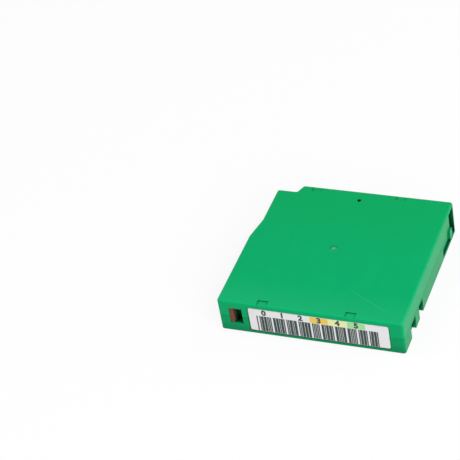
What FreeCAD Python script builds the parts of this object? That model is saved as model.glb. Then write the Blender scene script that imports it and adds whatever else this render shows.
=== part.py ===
import FreeCAD, Part
import os
import Sketcher

# A single-reel data tape cartridge: two moulded shells around a sprung, braked reel of
# half-inch tape, with a sliding door over the leader pin.  Millimetres.
# The origin is at the middle of the bottom face.  +X runs across the cartridge towards the
# door, +Y is the way it is pushed into a drive, the label faces -Y and +Z is up.

SIZES = [
    # the case
    ("case_width", 105.4, "outside, across"),
    ("case_depth", 102.0, "outside, label face to leading face"),
    ("case_height", 21.5, "outside, bottom to top"),
    ("split_height", 10.75, "plane where the two shells meet"),
    ("plate", 1.8, "top and bottom plates"),
    ("side_wall", 2.0, "left wall and the rear of the right wall"),
    ("door_wall", 1.0, "right wall beside the door and its spring"),
    ("end_wall", 1.5, "label wall and leading wall"),
    ("corner_round", 1.5, "upright corners"),
    ("top_round", 1.2, "edge of the top face"),
    ("bottom_round", 0.6, "edge of the bottom face"),
    ("seam_chamfer", 0.15, "each side of the seam between the shells"),
    ("fit_gap", 0.1, "between moulded pieces that locate each other"),
    ("side_step", 2.9, "how far the left side steps in at the leading end"),
    ("side_step_start", 47.6, "from the leading face back to where it starts"),
    ("side_step_end", 32.7, "from the leading face back to where it is complete"),
    ("corner_cut_depth", 5.9, "cut leading left corner, back from the leading face"),
    ("corner_cut_width", 14.5, "the same cut, in from the left"),
    ("corner_cut_slant", 2.5, "run of its slanted side"),
    # gripper notches low in both sides
    ("notch_rear", 12.2, "label face to the first notch"),
    ("notch_long", 8.5, "length of the first notch"),
    ("notch_space", 6.8, "between the two notches"),
    ("notch_short", 7.0, "length of the second notch"),
    ("notch_height", 9.0, "notches, up from the bottom"),
    ("notch_depth", 2.4, "notches, in from the side"),
    ("notch_backing", 1.5, "wall left behind and above a notch"),
    # marks in the top face
    ("stack_mark_offset", 25.0, "stacking recesses, either side of their own middle"),
    ("stack_mark_width", 5.8, "stacking recesses, across"),
    ("stack_mark_length", 4.0, "stacking recesses, in from the edge"),
    ("stack_mark_depth", 0.5, "stacking recesses, down"),
    ("gate_dish_width", 4.6, "dish round the moulding gate"),
    ("gate_dish_depth", 0.25, "the same dish"),
    ("gate_ahead", 0.9, "the same dish, ahead of the middle"),
    ("mark_aside", 1.8, "stacking marks and gate, to the left of the middle"),
    ("gate_width", 2.2, "gate mark, and the dimple near the leading edge"),
    ("dimple_inset", 7.8, "leading face back to the dimple"),
    ("dimple_depth", 1.3, "the same dimple"),
    # label
    ("label_width", 79.5, "barcode label, across"),
    ("label_height", 15.8, "barcode label, up"),
    ("label_thickness", 0.15, "barcode label"),
    ("label_inset", 8.3, "right side in to the label"),
    ("label_lift", 2.3, "bottom up to the label"),
    ("label_border", 0.6, "recess round the label"),
    ("label_recess", 0.4, "depth of the recess"),
    ("label_round", 1.4, "corners of the recess"),
    # write-protect slider
    ("window_inset", 6.2, "left side in to the window"),
    ("window_width", 7.5, "window, across"),
    ("window_floor", 6.0, "bottom up to the window"),
    ("window_height", 10.5, "window, up"),
    ("slider_overlap", 2.4, "how far the slider reaches behind the wall round the window"),
    ("slider_thickness", 1.4, "plate of the slider"),
    ("slider_knob", 1.9, "thumb block of the slider, across"),
    ("slider_gap", 0.2, "round the slider"),
    ("slider_lip", 1.0, "wall behind the slider, left under and over its opening"),
    ("knob_grooves", 2, "grooves down the thumb block"),
    ("knob_groove_width", 0.3, "the same grooves"),
    ("knob_groove_depth", 0.35, "the same grooves"),
    # reel
    ("tape_width", 12.65, "half-inch tape"),
    ("tape_gap", 0.2, "tape edge to flange"),
    ("winding_gap", 0.02, "wound tape to the hub"),
    ("pack_radius", 46.85, "outside of the wound tape"),
    ("flange_radius", 48.5, "both flanges"),
    ("flange_thickness", 1.1, "both flanges"),
    ("hub_radius", 22.0, "winding surface"),
    ("hub_wall", 2.0, "hub, from winding surface to cup"),
    ("hub_floor", 2.0, "floor of the cup"),
    ("hub_bore", 2.0, "radius of the hole in the floor"),
    ("reel_gap", 0.3, "reel to the rim that carries it"),
    ("rim_height", 0.9, "rim round the hub opening"),
    ("rim_width", 2.5, "the same rim"),
    ("opening_gap", 1.5, "drive teeth to the edge of the hub opening"),
    ("teeth_outer", 19.5, "drive teeth"),
    ("teeth_inner", 15.5, "drive teeth"),
    ("teeth_drop", 1.8, "drive teeth, down from the hub floor"),
    ("teeth_depth", 1.3, "drive teeth, root to tip"),
    ("teeth_count", 60, "drive teeth and brake teeth"),
    ("notch_slope", 0.55, "half width of a tooth notch, for each millimetre of its depth"),
    ("plate_thickness", 0.6, "steel coupling plate"),
    ("plate_gap", 0.6, "coupling plate to drive teeth"),
    ("plate_hole", 4.0, "radius of the hole in the coupling plate"),
    # brake
    ("brake_outer", 15.0, "brake teeth"),
    ("brake_inner", 12.4, "brake teeth"),
    ("brake_rise", 1.2, "brake teeth of the hub, up from its floor"),
    ("brake_notch", 1.0, "brake teeth, root to tip"),
    ("brake_bite", 0.35, "how far the brake teeth engage"),
    ("brake_disc", 1.6, "disc of the brake button"),
    ("brake_neck", 6.5, "radius of the neck round the keyed post"),
    ("brake_neck_height", 5.0, "neck, up from the disc"),
    ("brake_travel", 2.0, "lift that frees the reel"),
    ("key_width", 5.0, "square post that keeps the brake button from turning"),
    ("key_gap", 0.15, "post to brake button, each side"),
    ("key_floor", 1.0, "brake button below the post's socket"),
    ("pad_leg_circle", 9.0, "radius on which the release legs stand"),
    ("pad_leg", 2.0, "radius of a release leg"),
    ("pad_leg_gap", 0.25, "release leg to its hole"),
    ("pad_thickness", 1.2, "spider of the release pad"),
    ("pad_gap", 0.1, "release pad to hub floor and to brake button"),
    ("pad_leg_reach", 0.6, "release leg below the coupling plate"),
    ("pad_legs", 3, "release legs"),
    ("brake_wire", 0.8, "brake spring wire"),
    ("brake_coils", 5, "brake spring"),
    ("spring_gap", 0.1, "spring ends and bores"),
    # leader and door
    ("pin_inset_side", 8.7, "right side in to the leader pin"),
    ("pin_inset_front", 9.0, "leading face back to the leader pin"),
    ("pin_shaft", 1.2, "radius of the leader pin"),
    ("pin_flange", 2.4, "radius of its flanges"),
    ("pin_flange_height", 1.2, "its lower flange"),
    ("pin_end_gap", 0.3, "leader pin to the plates"),
    ("pin_socket_gap", 0.15, "leader pin to its sockets"),
    ("pin_socket_wall", 1.4, "sockets round the leader pin"),
    ("pin_socket_height", 1.8, "lower socket, from the bottom plate"),
    ("clamp_wall", 0.6, "clamp that holds the tape to the pin"),
    ("clamp_opening", 80, "degrees left open in the clamp"),
    ("hairpin_wire", 0.5, "springs that hold the leader pin"),
    ("hairpin_length", 6.0, "the same springs"),
    ("hairpin_room", 0.45, "clamp to the upper spring"),
    ("leader_thickness", 0.1, "leader tape"),
    ("leader_gap", 0.15, "leader to wound tape"),
    ("door_opening", 15.0, "opening in the right side, along it"),
    ("door_thickness", 1.5, "door plate"),
    ("door_gap", 0.2, "round the door"),
    ("door_overlap", 16.5, "door behind the wall, back from the opening"),
    ("door_straight", 5.0, "front of the opening back to where the door turns in"),
    ("door_turn_in", 3.2, "how far its front edge turns in"),
    ("door_travel", 15.0, "door, from closed to open"),
    ("door_step_height", 8.0, "top of the slot for the drive's door hook"),
    ("door_step", 0.3, "lower part of the door, in from the upper part"),
    ("hook_width", 4.0, "block that the hook pulls"),
    ("hook_inset", 4.5, "front of the opening back to the block"),
    ("hook_reach", 0.1, "block, short of the outside of the case"),
    ("door_rail", 0.8, "rails that guide the door, up and across"),
    ("door_spring_radius", 0.9, "outside of the door spring"),
    ("door_spring_wire", 0.3, "door spring wire"),
    ("door_spring_coils", 16, "door spring"),
    ("spring_foot", 1.4, "half height of the blocks at both ends of the door spring"),
    # cartridge memory
    ("memory_length", 14.0, "memory board, across the cartridge"),
    ("memory_width", 6.0, "memory board, along its slope"),
    ("memory_thickness", 0.6, "memory board"),
    ("memory_inset", 11.0, "inner right wall to the memory board"),
    ("memory_rib", 1.2, "ribs that carry the memory board"),
    ("memory_edge", 0.3, "bare edge of the board round its aerial"),
    ("memory_track", 0.9, "width of the aerial loop"),
    ("memory_copper", 0.08, "thickness of the aerial loop"),
    ("chip_length", 3.0, "memory chip, across"),
    ("chip_width", 2.0, "memory chip, along the slope"),
    ("chip_height", 0.5, "memory chip, off the board"),
    # screws
    ("boss_radius", 3.0, "screw bosses"),
    ("screw_radius", 1.1, "screw shank"),
    ("screw_head", 2.0, "radius of the screw head"),
    ("screw_head_height", 1.3, "screw head"),
    ("screw_sink", 0.6, "screw head below the bottom face"),
    ("screw_length", 14.0, "screw, under its head"),
    ("cross_length", 2.4, "cross recess in the screw head, arm to arm"),
    ("cross_width", 0.56, "width of its arms"),
    ("cross_depth", 0.8, "its depth"),
    ("screw_hole_gap", 0.3, "screw to the lower shell"),
    ("screw_grip_gap", 0.02, "screw to the upper shell"),
    ("screw_inset_side", 7.2, "rear screws, in from the sides"),
    ("screw_inset_rear", 9.5, "rear screws, in from the label face"),
    ("screw_inset_corner", 6.4, "leading left screw, in from the cut corner"),
    ("screw_inset_pin", 10.8, "leading right screw, left of the leader pin"),
    ("screw_inset_front", 5.5, "leading right screw, in from the leading face"),
    # seats for a drive's locating pins
    ("locator_radius", 3.0, "round and long locating recesses"),
    ("locator_slot", 4.0, "extra length of the long one"),
    ("locator_depth", 1.0, "both recesses"),
    ("locator_side", 40.0, "both, from the middle"),
    ("locator_rear", 21.0, "both, from the label face"),
]

# Places that follow from the sizes, each worked out once.
PLACES = [
    ("right", "Size.case_width / 2"),
    ("left", "-Size.case_width / 2"),
    ("front", "Size.case_depth / 2"),
    ("rear", "-Size.case_depth / 2"),
    ("ceiling", "Size.case_height - Size.plate"),
    ("inner_left", "Fit.left + Size.side_wall"),
    ("inner_right", "Fit.right - Size.door_wall"),
    ("inner_front", "Fit.front - Size.end_wall"),
    ("inner_rear", "Fit.rear + Size.end_wall"),
    ("step_left", "Fit.left + Size.side_step"),
    ("step_start", "Fit.front - Size.side_step_start"),
    ("step_end", "Fit.front - Size.side_step_end"),
    ("cut_front", "Fit.front - Size.corner_cut_depth"),
    ("cut_corner", "Fit.left + Size.corner_cut_width"),
    ("cut_end", "Fit.cut_corner + Size.corner_cut_slant"),
    ("notch_a", "Fit.rear + Size.notch_rear"),
    ("notch_a_end", "Fit.notch_a + Size.notch_long"),
    ("notch_b", "Fit.notch_a_end + Size.notch_space"),
    ("notch_b_end", "Fit.notch_b + Size.notch_short"),
    ("label_right", "Fit.right - Size.label_inset"),
    ("label_left", "Fit.label_right - Size.label_width"),
    ("label_top", "Size.label_lift + Size.label_height"),
    ("label_face", "Fit.rear + Size.label_recess - Size.label_thickness"),
    ("window_left", "Fit.left + Size.window_inset"),
    ("window_right", "Fit.window_left + Size.window_width"),
    ("window_top", "Size.window_floor + Size.window_height"),
    ("slider_front", "Fit.inner_rear + Size.slider_gap + Size.slider_thickness"),
    ("shelf_top", "Size.window_floor - Size.slider_overlap - Size.slider_gap"),
    # heights of the reel and brake
    ("rim_top", "Size.plate + Size.rim_height"),
    ("reel_bottom", "Fit.rim_top + Size.reel_gap"),
    ("flange_top", "Fit.reel_bottom + Size.flange_thickness"),
    ("tape_bottom", "Fit.flange_top + Size.tape_gap"),
    ("tape_top", "Fit.tape_bottom + Size.tape_width"),
    ("hub_top", "Fit.tape_top + Size.tape_gap"),
    ("cup_radius", "Size.hub_radius - Size.hub_wall"),
    ("cup_floor", "Fit.reel_bottom + Size.hub_floor"),
    ("teeth_tip", "Fit.reel_bottom - Size.teeth_drop"),
    ("hub_opening", "Size.teeth_outer + Size.opening_gap"),
    ("brake_tip", "Fit.cup_floor + Size.brake_rise"),
    ("button_tip", "Fit.brake_tip - Size.brake_bite"),
    ("pad_bottom", "Fit.cup_floor + Size.pad_gap"),
    ("pad_top", "Fit.pad_bottom + Size.pad_thickness"),
    ("button_bottom", "Fit.pad_top + Size.pad_gap"),
    ("button_top", "Fit.button_bottom + Size.brake_disc"),
    ("neck_top", "Fit.button_top + Size.brake_neck_height"),
    ("socket_floor", "Fit.button_bottom + Size.key_floor"),
    ("post_bottom", "Fit.socket_floor + Size.brake_travel + 2 * Size.key_gap"),
    ("brake_spring_radius", "Size.brake_neck + Size.spring_gap + Size.brake_wire"),
    # leader, door and its spring
    ("pin_x", "Fit.right - Size.pin_inset_side"),
    ("pin_y", "Fit.front - Size.pin_inset_front"),
    ("pin_reach", "sqrt(Fit.pin_x ^ 2 + Fit.pin_y ^ 2)"),
    ("leader_radius", "Size.pack_radius + Size.leader_gap"),
    ("upper_socket", "Fit.tape_top + Size.hairpin_room + Size.hairpin_wire"),
    ("pin_bearing", "atan2(Fit.pin_y; Fit.pin_x) / 1 deg"),
    ("leader_turn", "Fit.pin_bearing - acos(Fit.leader_radius / Fit.pin_reach) / 1 deg"),
    ("leader_length", "sqrt(Fit.pin_reach ^ 2 - Fit.leader_radius ^ 2)"),
    ("clamp_radius", "Size.pin_shaft + Size.pin_socket_gap"),
    ("opening_rear", "Fit.inner_front - Size.door_opening"),
    ("hook_front", "Fit.inner_front - Size.hook_inset"),
    ("hook_rear", "Fit.hook_front - Size.hook_width"),
    ("slot_rear", "Fit.hook_rear - Size.door_travel - Size.door_gap"),
    ("door_face", "Fit.inner_right - Size.door_gap"),
    ("door_back", "Fit.door_face - Size.door_thickness"),
    ("door_rear", "Fit.opening_rear - Size.door_overlap"),
    ("door_front", "Fit.inner_front - Size.door_gap"),
    ("door_turn", "Fit.inner_front - Size.door_straight"),
    ("door_bottom", "Size.plate + Size.door_gap"),
    ("door_top", "Fit.ceiling - Size.door_gap"),
    ("door_spring_x", "Fit.inner_right - Size.spring_gap - Size.door_spring_radius"),
    ("door_spring_z", "Size.split_height - Size.spring_foot - Size.fit_gap"),
    ("spring_rear", "Fit.notch_b_end + Size.notch_backing + Size.door_wall + 4 * Size.fit_gap"),
    ("spring_length", "Fit.door_rear - Fit.spring_rear"),
    # memory board and screws
    ("memory_right", "Fit.inner_right - Size.memory_inset"),
    ("memory_left", "Fit.memory_right - Size.memory_length"),
    ("memory_drop", "Size.memory_width * sqrt(2) / 2"),
    ("screw_seat", "Size.screw_sink + Size.screw_head_height"),
    ("screw_top", "Fit.screw_seat + Size.screw_length"),
]

PAST = 2.0  # how far a cutting solid runs past the face it opens

doc = FreeCAD.newDocument("tape_cartridge")
nodes = []


def make_sheet():
    """Put the sizes in a spreadsheet and the places in a set of bound variables."""
    sheet = doc.addObject("Spreadsheet::Sheet", "Size")
    for row, (alias, value, note) in enumerate(SIZES, start=1):
        sheet.set(f"A{row}", alias)
        sheet.set(f"B{row}", str(value))
        sheet.set(f"C{row}", note)
        sheet.setAlias(f"B{row}", alias)
    doc.recompute()
    places = doc.addObject("App::VarSet", "Fit")
    for name, formula in PLACES:
        places.addProperty("App::PropertyFloat", name, "Places")
    for name, formula in PLACES:
        places.setExpression(name, formula)
    doc.recompute()
    return sheet, places


def bind(item, formulas):
    for prop, formula in formulas.items():
        item.setExpression(prop, formula)
    return item


def place(item, x="0", y="0", z="0"):
    return bind(item, {"Placement.Base.x": x, "Placement.Base.y": y, "Placement.Base.z": z})


def node(item, label):
    """Name a finished sub-part; its label also names its file."""
    item.Label = label
    nodes.append(item)
    return item


# ---- shapes the sub-parts are made from ----


def box(name, x, y, z):
    """A box between two formulas along each axis."""
    item = doc.addObject("Part::Box", name)
    for prop, (low, high) in (("Length", x), ("Width", y), ("Height", z)):
        bind(item, {prop: f"({high}) - ({low})"})
    return place(item, x[0], y[0], z[0])


def cylinder(name, radius, z, centre=("0", "0")):
    item = doc.addObject("Part::Cylinder", name)
    bind(item, {"Radius": radius, "Height": f"({z[1]}) - ({z[0]})"})
    return place(item, centre[0], centre[1], z[0])


def fuse(name, items):
    item = doc.addObject("Part::MultiFuse", name)
    item.Shapes = items
    return item


def cut(name, base, items):
    """The base without the items."""
    item = doc.addObject("Part::Cut", name)
    item.Base = base
    item.Tool = items[0] if len(items) == 1 else fuse(name + "_taken", items)
    return item


def tube(name, outer, inner, z, centre=("0", "0")):
    deep = (f"({z[0]}) - {PAST}", f"({z[1]}) + {PAST}")
    bore = cylinder(name + "_bore", inner, deep, centre)
    return cut(name, cylinder(name + "_outer", outer, z, centre), [bore])


def new_body(name):
    return doc.addObject("PartDesign::Body", name)


def origin_part(body, role):
    return next(item for item in body.Origin.OriginFeatures if item.Role == role)


def polygon(body, name, plane, points):
    """A closed sketch of straight runs, with both coordinates of every corner bound."""
    sketch = body.newObject("Sketcher::SketchObject", name)
    sketch.AttachmentSupport = [(origin_part(body, plane), "")]
    sketch.MapMode = "FlatFace"
    count = len(points)
    rough = [FreeCAD.Vector(10, 0, 0)] * count
    for index in range(count):
        rough[index] = FreeCAD.Rotation(FreeCAD.Vector(0, 0, 1), 360 * index / count) * rough[index]
    for index in range(count):
        sketch.addGeometry(Part.LineSegment(rough[index], rough[(index + 1) % count]))
    for index in range(count):
        sketch.addConstraint(Sketcher.Constraint("Coincident", index, 2, (index + 1) % count, 1))
    for index, corner in enumerate(points):
        for kind, formula in zip(("DistanceX", "DistanceY"), corner):
            number = sketch.addConstraint(Sketcher.Constraint(kind, -1, 1, index, 1, 1.0))
            sketch.setExpression(f"Constraints[{number}]", formula)
    return sketch


def pad(name, plane, points, length, offset="0"):
    """A body padded from a polygon; the offset moves it along the plane's normal."""
    body = new_body(name)
    feature = body.newObject("PartDesign::Pad", name + "_pad")
    sketch = polygon(body, name + "_sketch", plane, points)
    bind(sketch, {"AttachmentOffset.Base.z": offset})
    feature.Profile = sketch
    bind(feature, {"Length": length})
    body.Tip = feature
    return body


def revolved(name, points):
    """A body turned about Z from corners given as radius and height."""
    body = new_body(name)
    sketch = polygon(body, name + "_profile", "XZ_Plane", points)
    feature = body.newObject("PartDesign::Revolution", name + "_turn")
    feature.Profile = sketch
    feature.ReferenceAxis = (sketch, ["V_Axis"])
    feature.Angle = 360
    body.Tip = feature
    return body


def tooth_notches(body, name, radii, root, tip, turn):
    """Cut V notches across a ring, all round it, from the tips down to the roots."""
    sketch = polygon(body, name + "_profile", "YZ_Plane", [
        ("0", root),
        (f"Size.notch_slope * (({tip}) - ({root}))", tip),
        (f"-Size.notch_slope * (({tip}) - ({root}))", tip),
    ])
    bind(sketch, {"AttachmentOffset.Base.z": radii[0]})
    notch = body.newObject("PartDesign::Pocket", name + "_notch")
    notch.Profile = sketch
    notch.Reversed = True
    bind(notch, {"Length": f"({radii[1]}) - ({radii[0]})"})
    ring = body.newObject("PartDesign::PolarPattern", name + "_ring")
    ring.Originals = [notch]
    ring.Axis = (origin_part(body, "Z_Axis"), [""])
    ring.Angle = 360
    bind(ring, {"Occurrences": "Size.teeth_count"})
    body.Tip = ring
    bind(body, {"Placement.Rotation.Angle": turn})
    return ring


def coil(name, radius, wire, length, coils):
    """A wire wound up Z from the origin; the length runs between the wire's outsides."""
    body = new_body(name)
    sketch = body.newObject("Sketcher::SketchObject", name + "_wire")
    sketch.AttachmentSupport = [(origin_part(body, "XZ_Plane"), "")]
    sketch.MapMode = "FlatFace"
    sketch.addGeometry(Part.Circle(FreeCAD.Vector(2, 1, 0), FreeCAD.Vector(0, 0, 1), 0.5))
    for kind, formula in (("DistanceX", f"{radius} - {wire} / 2"), ("DistanceY", f"{wire} / 2")):
        number = sketch.addConstraint(Sketcher.Constraint(kind, -1, 1, 0, 3, 1.0))
        sketch.setExpression(f"Constraints[{number}]", formula)
    number = sketch.addConstraint(Sketcher.Constraint("Diameter", 0, 1.0))
    sketch.setExpression(f"Constraints[{number}]", wire)
    helix = body.newObject("PartDesign::AdditiveHelix", name + "_coil")
    helix.Profile = sketch
    helix.ReferenceAxis = (sketch, ["V_Axis"])
    helix.Mode = 2
    bind(helix, {"Height": f"({length}) - {wire}", "Turns": coils})
    body.Tip = helix
    return body


def rounded(name, base, kind, size, chosen):
    """Fillet or chamfer the edges of the base that the test picks."""
    doc.recompute()
    item = doc.addObject(kind, name)
    item.Base = base
    edges = enumerate(base.Shape.Edges, start=1)
    item.Edges = [(number, size, size) for number, edge in edges if chosen(edge.BoundBox)]
    return item


# ---- the two shells ----

OUTER = [
    ("Fit.left", "Fit.rear"),
    ("Fit.right", "Fit.rear"),
    ("Fit.right", "Fit.front"),
    ("Fit.cut_end", "Fit.front"),
    ("Fit.cut_corner", "Fit.cut_front"),
    ("Fit.step_left", "Fit.cut_front"),
    ("Fit.step_left", "Fit.step_end"),
    ("Fit.left", "Fit.step_start"),
]


INNER = [
    ("Fit.inner_left", "Fit.inner_rear"),
    ("Fit.right - Size.side_wall", "Fit.inner_rear"),
    ("Fit.right - Size.side_wall", "Fit.spring_rear"),
    ("Fit.inner_right", "Fit.spring_rear"),
    ("Fit.inner_right", "Fit.inner_front"),
    ("Fit.cut_end + Size.side_wall", "Fit.inner_front"),
    ("Fit.cut_end + Size.side_wall", "Fit.cut_front - Size.side_wall"),
    ("Fit.step_left + Size.side_wall", "Fit.cut_front - Size.side_wall"),
    ("Fit.step_left + Size.side_wall", "Fit.step_end"),
    ("Fit.inner_left", "Fit.step_start"),
]


def flat_at(height):
    return lambda bounds: abs(bounds.ZMin - height) < 1e-4 and abs(bounds.ZMax - height) < 1e-4


def upright(bounds):
    return bounds.ZLength > 1 and bounds.XLength < 1e-4 and bounds.YLength < 1e-4


def shell_blank(name, low, high, outside, outside_round):
    """A solid half of the case with rounded corners, one rounded face and a seam chamfer."""
    block = pad(name + "_block", "XY_Plane", OUTER, f"{high} - ({low})", low)
    corners = rounded(name + "_corners", block, "Part::Fillet", sheet.corner_round, upright)
    face = rounded(name + "_face", corners, "Part::Fillet", outside_round, flat_at(outside))
    return rounded(name + "_blank", face, "Part::Chamfer", sheet.seam_chamfer,
                   flat_at(sheet.split_height))


def screw_places():
    return [
        ("Fit.left + Size.screw_inset_side", "Fit.rear + Size.screw_inset_rear"),
        ("Fit.right - Size.screw_inset_side", "Fit.rear + Size.screw_inset_rear"),
        ("Fit.step_left + Size.screw_inset_corner", "Fit.cut_front - Size.screw_inset_corner"),
        ("Fit.pin_x - Size.screw_inset_pin", "Fit.front - Size.screw_inset_front"),
    ]


def bosses(name, low, high):
    return [cylinder(f"{name}_boss_{number}", "Size.boss_radius", (low, high), centre)
            for number, centre in enumerate(screw_places(), start=1)]


def holes(name, radius, low, high):
    return [cylinder(f"{name}_{number}", radius, (low, high), centre)
            for number, centre in enumerate(screw_places(), start=1)]


def label_recess(name):
    """Recess for the label, with rounded corners."""
    border = "Size.label_border"
    block = box(name + "_block", (f"Fit.label_left - {border}", f"Fit.label_right + {border}"),
                (f"Fit.rear - {PAST}", "Fit.rear + Size.label_recess"),
                (f"Size.label_lift - {border} / 2", f"Fit.label_top + {border} / 2"))
    return rounded(name, block, "Part::Fillet", sheet.label_round,
                   lambda bounds: bounds.XLength < 1e-4 and bounds.ZLength < 1e-4)


def window(name):
    return box(name, ("Fit.window_left", "Fit.window_right"),
               (f"Fit.rear - {PAST}", f"Fit.inner_rear + {PAST}"),
               ("Size.window_floor", "Fit.window_top"))


def door_opening(name, low, high):
    return box(name, (f"Fit.inner_right - {PAST}", f"Fit.right + {PAST}"),
               ("Fit.opening_rear", "Fit.inner_front"), (low, high))


def pin_socket(name, low, high):
    """A block round one end of the leader pin, open towards the door."""
    reach = "(Size.pin_flange + Size.pin_socket_gap)"
    half = f"({reach} + Size.pin_socket_wall)"
    block = box(name + "_block", (f"Fit.pin_x - {half}", f"Fit.pin_x + {reach} / 2"),
                (f"Fit.pin_y - {half}", f"Fit.pin_y + {half}"), (low, high))
    deep = (f"({low}) - {PAST}", f"({high}) + {PAST}")
    seat = cylinder(name + "_seat", reach, deep, ("Fit.pin_x", "Fit.pin_y"))
    mouth = box(name + "_mouth", ("Fit.pin_x", f"Fit.pin_x + {reach} + {PAST}"),
                (f"Fit.pin_y - {reach}", f"Fit.pin_y + {reach}"), deep)
    return cut(name, block, [seat, mouth])


def door_rail(name, back, low, high):
    """A low rail behind the door's back that keeps it against the right wall."""
    face = f"{back} - Size.door_gap"
    end = "Fit.door_turn - Size.door_travel - 2 * Size.door_gap"
    return box(name, (f"{face} - Size.door_rail", face), ("Fit.door_rear", end), (low, high))


def notch_boxes(name, side, near, far, z, grow="0"):
    """Boxes along one side where its gripper notches are, grown a little at each end."""
    spans = (("Fit.notch_a", "Fit.notch_a_end"), ("Fit.notch_b", "Fit.notch_b_end"))
    across = (near, far) if side == "right" else (f"-({far})", f"-({near})")
    return [box(f"{name}_{side}_{number}", across, (f"{start} - {grow}", f"{end} + {grow}"), z)
            for number, (start, end) in enumerate(spans, start=1)]


def make_bottom_shell():
    blank = shell_blank("bottom_shell", "0", "Size.split_height", 0, sheet.bottom_round)
    cavity = pad("bottom_cavity", "XY_Plane", INNER, f"Size.split_height + {PAST}", "Size.plate")
    hollow = cut("bottom_hollow", blank, [cavity])
    pieces = [hollow] + bosses("bottom", "Size.plate / 2", "Size.split_height")
    pieces.append(cylinder("hub_rim", "Fit.hub_opening + Size.rim_width",
                           ("Size.plate / 2", "Fit.rim_top")))
    pieces.append(pin_socket("bottom_socket", "Size.plate / 2", "Size.plate + Size.pin_socket_height"))
    pieces.append(door_rail("bottom_rail", "Fit.door_back - Size.door_step",
                            "Size.plate / 2", "Size.plate + Size.door_rail"))
    backing = "Size.notch_backing"
    for side in ("right", "left"):
        pieces += notch_boxes("backing", side, f"Fit.right - Size.notch_depth - {backing}",
                              "Fit.right - Size.notch_depth / 4",
                              ("Size.plate / 2", f"Size.notch_height + {backing}"), backing)
    pieces += slider_holder()
    pieces += memory_ribs()
    pieces.append(spring_seat())
    solid = fuse("bottom_solid", pieces)
    taken = [cylinder("hub_hole", "Fit.hub_opening", (f"-{PAST}", f"Fit.rim_top + {PAST}"))]
    taken += holes("bottom_hole", "Size.screw_radius + Size.screw_hole_gap",
                   f"-{PAST}", f"Size.split_height + {PAST}")
    taken += holes("bottom_sink", "Size.screw_head + Size.screw_hole_gap",
                   f"-{PAST}", "Fit.screw_seat")
    for side in ("right", "left"):
        taken += notch_boxes("notch", side, "Fit.right - Size.notch_depth",
                             f"Fit.right + {PAST}", (f"-{PAST}", "Size.notch_height"))
    taken.append(label_recess("bottom_label"))
    taken.append(window("bottom_window"))
    taken.append(slider_view())
    taken.append(door_opening("bottom_opening", "Size.plate", f"Size.split_height + {PAST}"))
    taken.append(box("hook_slot", (f"Fit.inner_right - {PAST}", f"Fit.right + {PAST}"),
                     ("Fit.slot_rear", "Fit.inner_front"), ("Size.plate", "Size.door_step_height")))
    taken += locators()
    node(cut("bottom_shell", solid, taken), "bottom_shell")


def make_top_shell():
    blank = shell_blank("top_shell", "Size.split_height", "Size.case_height",
                        sheet.case_height, sheet.top_round)
    cavity = pad("top_cavity", "XY_Plane", INNER, f"Fit.ceiling - Size.split_height + {PAST}",
                 f"Size.split_height - {PAST}")
    hollow = cut("top_hollow", blank, [cavity])
    roof = "Size.case_height - Size.plate / 2"
    pieces = [hollow] + bosses("top", "Size.split_height", roof)
    half = "Size.key_width / 2"
    pieces.append(box("key_post", (f"-{half}", half), (f"-{half}", half), ("Fit.post_bottom", roof)))
    pieces.append(tube("spring_rim", "Fit.brake_spring_radius + Size.spring_gap + Size.brake_wire",
                       "Fit.brake_spring_radius + Size.spring_gap",
                       ("Fit.ceiling - Size.brake_wire", roof)))
    pieces.append(pin_socket("top_socket", "Fit.upper_socket", roof))
    pieces.append(door_rail("top_rail", "Fit.door_back", "Fit.ceiling - Size.door_rail", roof))
    solid = fuse("top_solid", pieces)
    taken = holes("top_hole", "Size.screw_radius + Size.screw_grip_gap",
                  f"Size.split_height - {PAST}", "Fit.screw_top + Size.fit_gap")
    taken.append(label_recess("top_label"))
    taken.append(window("top_window"))
    taken.append(door_opening("top_opening", f"Size.split_height - {PAST}", "Fit.ceiling"))
    taken += top_marks()
    node(cut("top_shell", solid, taken), "top_shell")


def top_marks():
    """Stacking recesses at both ends of the top face, the gate mark and a dimple."""
    above = f"Size.case_height + {PAST}"
    marks = []
    for number, side in enumerate(("-", ""), start=1):
        middle = f"{side}Size.stack_mark_offset - Size.mark_aside"
        across = (f"{middle} - Size.stack_mark_width / 2", f"{middle} + Size.stack_mark_width / 2")
        down = ("Size.case_height - Size.stack_mark_depth", above)
        marks.append(box(f"stack_rear_{number}", across,
                         (f"Fit.rear - {PAST}", "Fit.rear + Size.stack_mark_length"), down))
        marks.append(box(f"stack_front_{number}", across,
                         ("Fit.front - Size.stack_mark_length", f"Fit.front + {PAST}"), down))
    marks.append(tube("gate_dish", "Size.gate_dish_width / 2", "Size.gate_width / 2",
                      ("Size.case_height - Size.gate_dish_depth", above),
                      ("-Size.mark_aside", "Size.gate_ahead")))
    marks.append(cylinder("dimple", "Size.gate_width / 2",
                          ("Size.case_height - Size.dimple_depth", above),
                          ("0", "Fit.front - Size.dimple_inset")))
    return marks


def slider_holder():
    """Shelf under the write-protect slider and the wall behind it."""
    across = ("Fit.inner_left", "Fit.window_right + Size.slider_overlap + Size.slider_gap")
    face = "Fit.slider_front + Size.slider_gap"
    wall = (face, f"{face} + Size.end_wall")
    return [
        box("slider_shelf", across, ("Fit.inner_rear - Size.end_wall / 2", wall[1]),
            ("Size.plate / 2", "Fit.shelf_top")),
        box("slider_wall", across, wall, ("Size.plate / 2", "Fit.window_top")),
    ]


def slider_view():
    """Opening in the wall behind the slider, where the window looks into the hollow case."""
    return box("slider_view",
               ("Fit.window_left + Size.slider_knob + 2 * Size.slider_gap", "Fit.window_right"),
               ("Fit.slider_front + Size.slider_gap / 2", f"Fit.slider_front + Size.end_wall + {PAST}"),
               ("Fit.shelf_top + Size.slider_lip", "Fit.window_top - Size.slider_lip"))


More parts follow.
